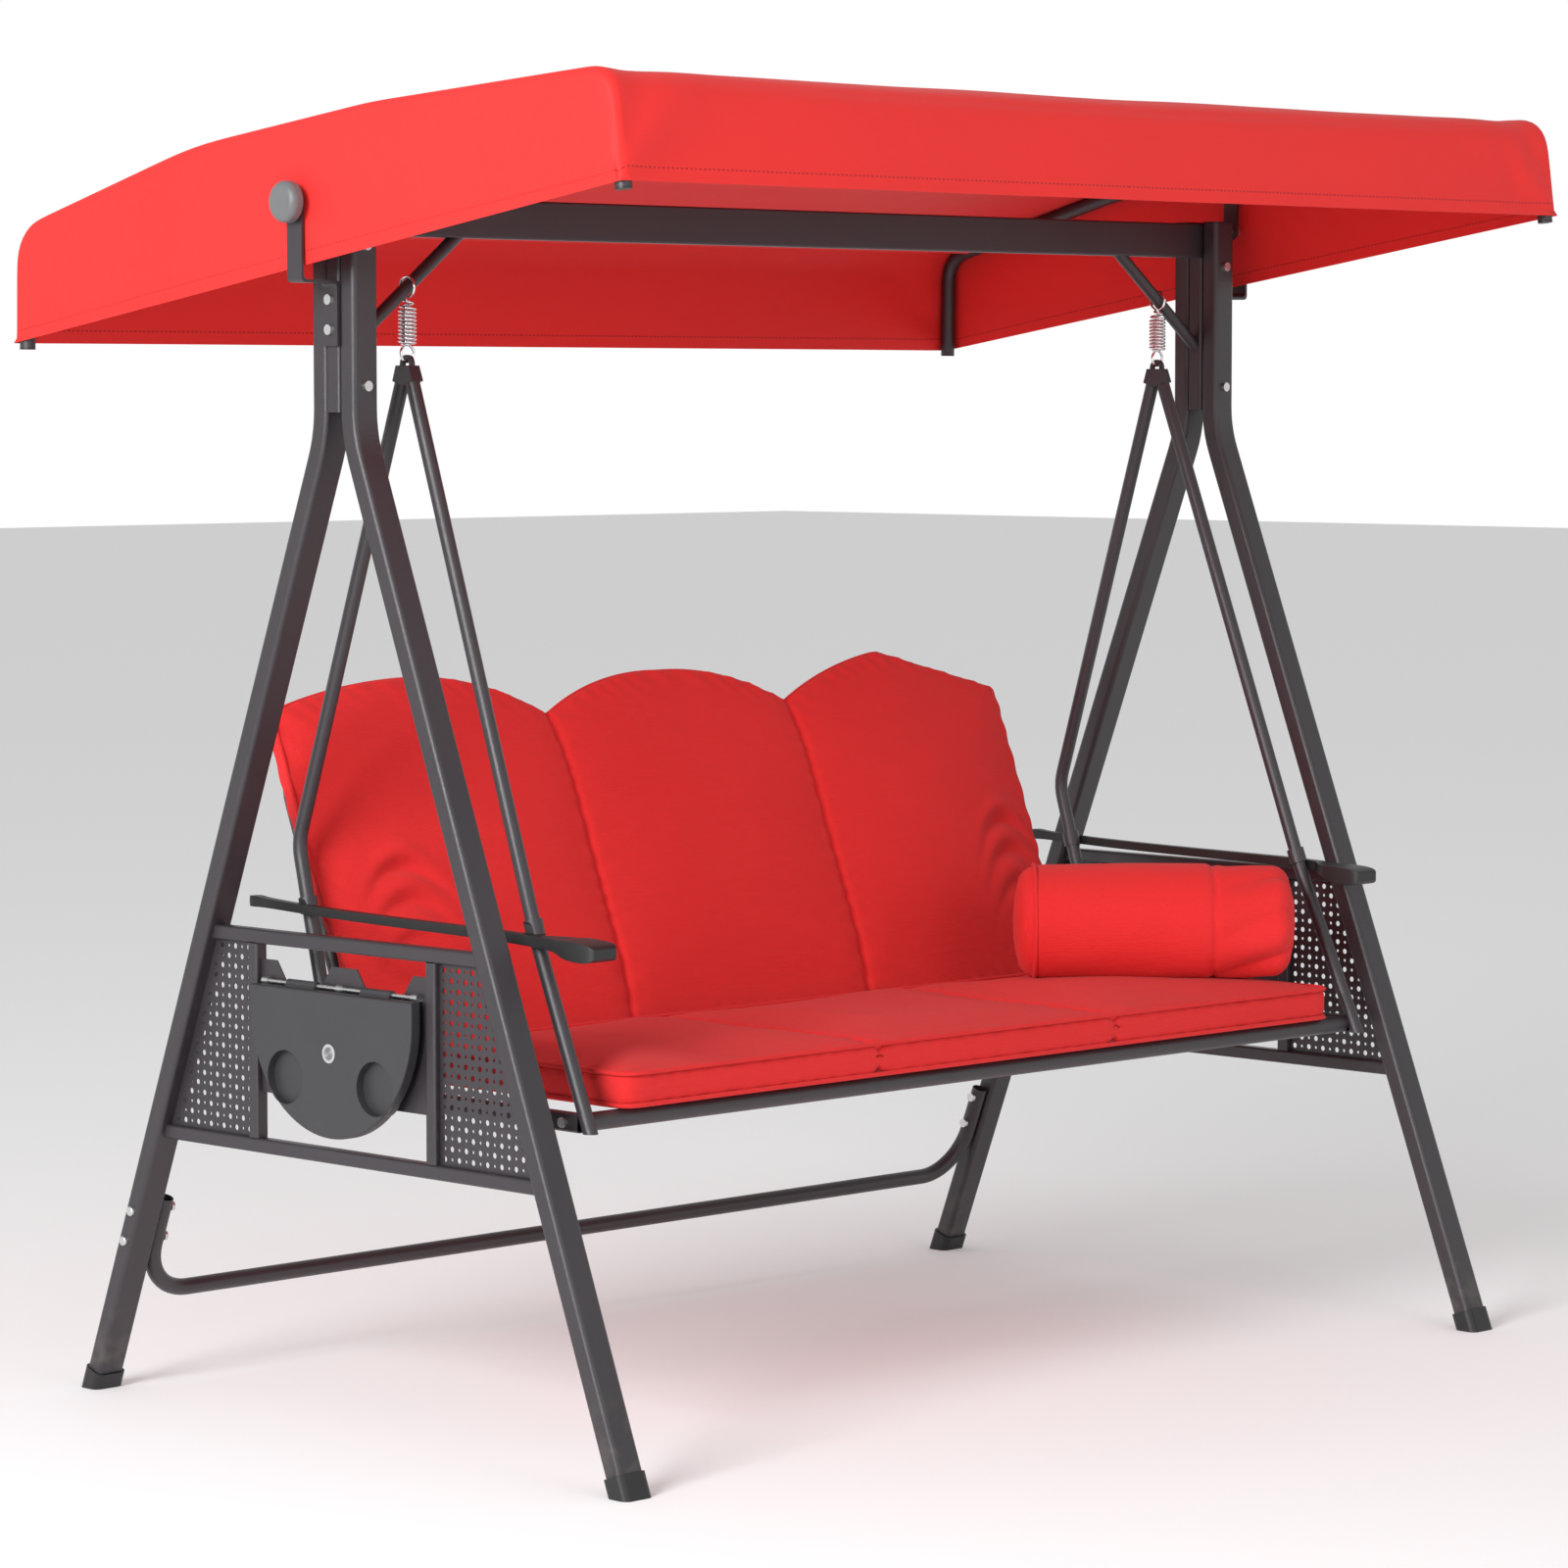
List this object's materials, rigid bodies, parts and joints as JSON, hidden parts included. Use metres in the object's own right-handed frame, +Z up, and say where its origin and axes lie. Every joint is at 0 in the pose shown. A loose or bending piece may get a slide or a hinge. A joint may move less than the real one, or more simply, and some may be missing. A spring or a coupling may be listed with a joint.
{
  "type": "canopy glider swing",
  "caption": "Canopy patio swing: A-frame legs, spring-hung bench with quilted cushions and a bolster, tilting fabric canopy, drop-leaf side tables.",
  "frame": {"origin": "on the floor, under the middle of the whole object's box", "axes": "+X along the crossbeam, the sitters face -Y, +Z up"},
  "size_m": [1.9848, 1.25, 1.8244],
  "materials": {
    "frame": "dark charcoal powder coat, fine texture, satin",
    "steel_fastener": "zinc plated, satin",
    "spring_steel": "bright plated wire",
    "black_plastic": "moulded, fine grain",
    "table_plastic": "moulded, fine grain, dark grey",
    "knob_plastic": "moulded, grey",
    "badge": "satin disc, no mark",
    "canopy_fabric": "coated woven polyester, red",
    "cushion_fabric": "woven polyester, red, quilted"
  },
  "bodies": {
    "frame": {"beam_braces": "frame", "canopy_brackets": "frame", "canopy_pivot_bolts": "steel_fastener", "crossbar_bolts": "steel_fastener", "crossbeam": "frame", "foot_caps": "black_plastic", "frame_bolts": "steel_fastener", "frame_tube_caps": "black_plastic", "left_front_leg": "frame", "left_panel_posts": "frame", "left_panel_rails": "frame", "left_perforated_sheets": "frame", "left_rear_leg": "frame", "post_spacers": "frame", "rear_crossbar": "frame", "right_front_leg": "frame", "right_panel_posts": "frame", "right_panel_rails": "frame", "right_perforated_sheets": "frame", "right_rear_leg": "frame", "table_backboards": "frame", "table_hinge_pins": "steel_fastener"},
    "swing_links": {"spring_top_hooks": "spring_steel", "springs": "spring_steel"},
    "bench": {"armrest_clamps": "frame", "back_cushion": "cushion_fabric", "back_hoop": "frame", "back_slats": "frame", "bolster_pillow": "cushion_fabric", "hanger_heads": "frame", "left_armrest": "black_plastic", "left_front_hanger": "frame", "left_rear_hanger": "frame", "right_armrest": "black_plastic", "right_front_hanger": "frame", "right_rear_hanger": "frame", "seat_bolts": "steel_fastener", "seat_cushion": "cushion_fabric", "seat_front_rail": "frame", "seat_rail_caps": "black_plastic", "seat_rear_rail": "frame", "seat_side_rails": "frame", "seat_slats": "frame", "spring_bottom_hooks": "spring_steel"},
    "canopy": {"canopy_cross_tubes": "frame", "canopy_front_valance": "canopy_fabric", "canopy_pivot_struts": "frame", "canopy_rail_caps": "black_plastic", "canopy_rear_valance": "canopy_fabric", "canopy_side_valances": "canopy_fabric", "canopy_top": "canopy_fabric", "left_canopy_rail": "frame", "right_canopy_rail": "frame"},
    "left_table": {"left_table_badge": "badge", "left_table_leaf": "table_plastic"},
    "right_table": {"right_table_badge": "badge", "right_table_leaf": "table_plastic"},
    "left_knob": {"left_canopy_knob": "knob_plastic"},
    "right_knob": {"right_canopy_knob": "knob_plastic"}
  },
  "joints": [
    {"name": "swing", "type": "hinge", "parent": "frame", "child": "swing_links", "pos_m": [0, 0, 1.55875], "axis": [1, 0, 0], "range_deg": [-18, 18]},
    {"name": "spring_stretch", "type": "slide", "parent": "swing_links", "child": "bench", "axis": [0, 0, -1], "range_m": [0, 0.03], "stiffness_N_per_m": 60000, "springref_m": -0.012, "deforming": ["springs"]},
    {"name": "canopy_tilt", "type": "hinge", "parent": "frame", "child": "canopy", "pos_m": [0, 0, 1.668], "axis": [1, 0, 0], "range_deg": [-12, 24]},
    {"name": "left_table_fold", "type": "hinge", "parent": "frame", "child": "left_table", "pos_m": [-0.888, 0.0085, 0.614], "axis": [0, 1, 0], "range_deg": [0, 90]},
    {"name": "right_table_fold", "type": "hinge", "parent": "frame", "child": "right_table", "pos_m": [0.888, 0.0085, 0.614], "axis": [0, -1, 0], "range_deg": [0, 90]},
    {"name": "left_knob_turn", "type": "hinge", "parent": "frame", "child": "left_knob", "pos_m": [-0.98, 0, 1.668], "axis": [1, 0, 0], "continuous": true},
    {"name": "right_knob_turn", "type": "hinge", "parent": "frame", "child": "right_knob", "pos_m": [0.98, 0, 1.668], "axis": [1, 0, 0], "continuous": true}
  ]
}
